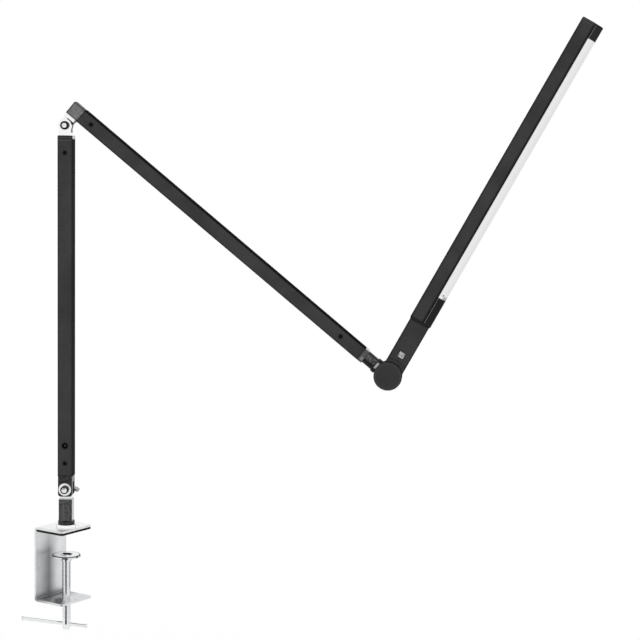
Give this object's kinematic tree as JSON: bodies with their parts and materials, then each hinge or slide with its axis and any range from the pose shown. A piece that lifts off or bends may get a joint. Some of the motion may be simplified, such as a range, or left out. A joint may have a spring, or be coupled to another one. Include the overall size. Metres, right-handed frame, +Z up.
{
  "type": "architect lamp",
  "caption": "Clamp-on architect lamp: swivelling post, two hinged square-tube arms, and a slim LED bar with a domed diffuser on a rolling, tilting wrist.",
  "frame": {"origin": "on the swivel axis, at the lower face of the jaw pad, where the table's top surface comes", "axes": "+X from the clamp's spine in over the table, +Y along the table's edge, +Z up; the arms' plane is turned 30 degrees from +X towards +Y at rest"},
  "size_m": [0.5668, 0.3241, 0.6966],
  "materials": {
    "bright_chrome": "polished chrome plate",
    "dark_chrome": "dark polished chrome plate",
    "satin_metal": "satin plated",
    "screw_steel": "zinc-black socket screws",
    "black_coat": "black satin powder coat",
    "black_plastic": "fine-grained moulding",
    "opal": "opal, smooth",
    "key_grey": "light grey touch key",
    "pad_rubber": "matte black rubber",
    "fibre": "dark fibre",
    "wire_black": "matte insulation",
    "board": "white solder mask",
    "board_parts": "moulded parts",
    "led_yellow": "phosphor face",
    "contact": "nickel-plated pin"
  },
  "bodies": {
    "clamp": {"clamp_bracket": "bright_chrome", "jaw_pad": "pad_rubber", "thread_bush": "bright_chrome", "swivel_washer": "bright_chrome"},
    "pad": {"pressure_pad": "bright_chrome"},
    "screw": {"clamp_screw": "bright_chrome"},
    "bar": {"t_bar": "bright_chrome"},
    "post": {"swivel_post": "dark_chrome", "swivel_flange": "dark_chrome", "swivel_screw": "screw_steel"},
    "lower_arm": {"shoulder_fork": "dark_chrome", "shoulder_bolt": "screw_steel", "shoulder_ring": "bright_chrome", "shoulder_rear_washer": "bright_chrome", "shoulder_friction_washers": "fibre", "lower_arm_tube": "black_coat", "lower_arm_screws": "screw_steel", "dc_jack": "black_plastic", "dc_jack_pin": "contact", "elbow_fork": "bright_chrome", "lower_arm_wire": "wire_black"},
    "wing": {"wing_nut": "bright_chrome"},
    "upper_arm": {"elbow_block": "satin_metal", "elbow_bolt": "screw_steel", "elbow_rear_washer": "bright_chrome", "elbow_nut": "bright_chrome", "elbow_friction_washers": "fibre", "upper_arm_tube": "black_coat", "upper_arm_screws": "screw_steel", "upper_arm_wire": "wire_black", "wrist_plug": "satin_metal", "wrist_circlip": "screw_steel", "wrist_friction_ring": "fibre"},
    "wrist": {"wrist_yoke": "dark_chrome", "hinge_cap_front": "black_plastic", "hinge_cap_back": "black_plastic", "head_hinge_bolt": "screw_steel", "head_hinge_nut": "screw_steel", "head_friction_washers": "fibre"},
    "head": {"bracket_body": "black_coat", "bracket_cover": "black_plastic", "bracket_cover_screws": "screw_steel", "bracket_screws": "screw_steel", "touch_key": "key_grey", "touch_board": "board", "head_channel": "black_coat", "diffuser": "opal", "bottom_cap": "black_plastic", "top_cap": "black_plastic", "cap_screws": "screw_steel", "led_board": "board", "led_chips": "led_yellow", "led_board_screws": "screw_steel", "driver_board": "board", "driver_parts": "board_parts"}
  },
  "joints": [
    {"name": "base_swivel", "type": "hinge", "parent": "clamp", "child": "post", "pos_m": [0, 0, 0.0079], "axis": [0, 0, 1], "continuous": true},
    {"name": "shoulder_tilt", "type": "hinge", "parent": "post", "child": "lower_arm", "pos_m": [0, 0, 0.0488], "axis": [-0.5, 0.866, 0], "range_deg": [-45, 45]},
    {"name": "wing_nut_turn", "type": "hinge", "parent": "lower_arm", "child": "wing", "pos_m": [0, 0, 0.0488], "axis": [-0.5, 0.866, 0], "range_deg": [-180, 180]},
    {"name": "elbow_bend", "type": "hinge", "parent": "lower_arm", "child": "upper_arm", "pos_m": [0, 0, 0.4578], "axis": [-0.5, 0.866, 0], "range_deg": [-129, 28]},
    {"name": "wrist_roll", "type": "hinge", "parent": "upper_arm", "child": "wrist", "pos_m": [0.28775, 0.16614, 0.21091], "axis": [0.6702, 0.3869, -0.6334], "range_deg": [-90, 90]},
    {"name": "head_tilt", "type": "hinge", "parent": "wrist", "child": "head", "pos_m": [0.31349, 0.18099, 0.18659], "axis": [-0.5, 0.866, 0], "range_deg": [-12, 100]},
    {"name": "clamp_travel", "type": "slide", "parent": "clamp", "child": "pad", "axis": [0, 0, 1], "range_m": [-0.041, 0.022]},
    {"name": "clamp_screw_turn", "type": "hinge", "parent": "pad", "child": "screw", "pos_m": [0, 0, -0.1084], "axis": [0, 0, 1], "range_deg": [-9850, 5290]},
    {"name": "bar_slide", "type": "slide", "parent": "screw", "child": "bar", "axis": [0.972, 0.2351, 0], "range_m": [-0.019, 0.05]}
  ],
  "couplings": [
    {"joint": "clamp_screw_turn", "follows": "clamp_travel", "rad_per_m": 4188.8}
  ]
}
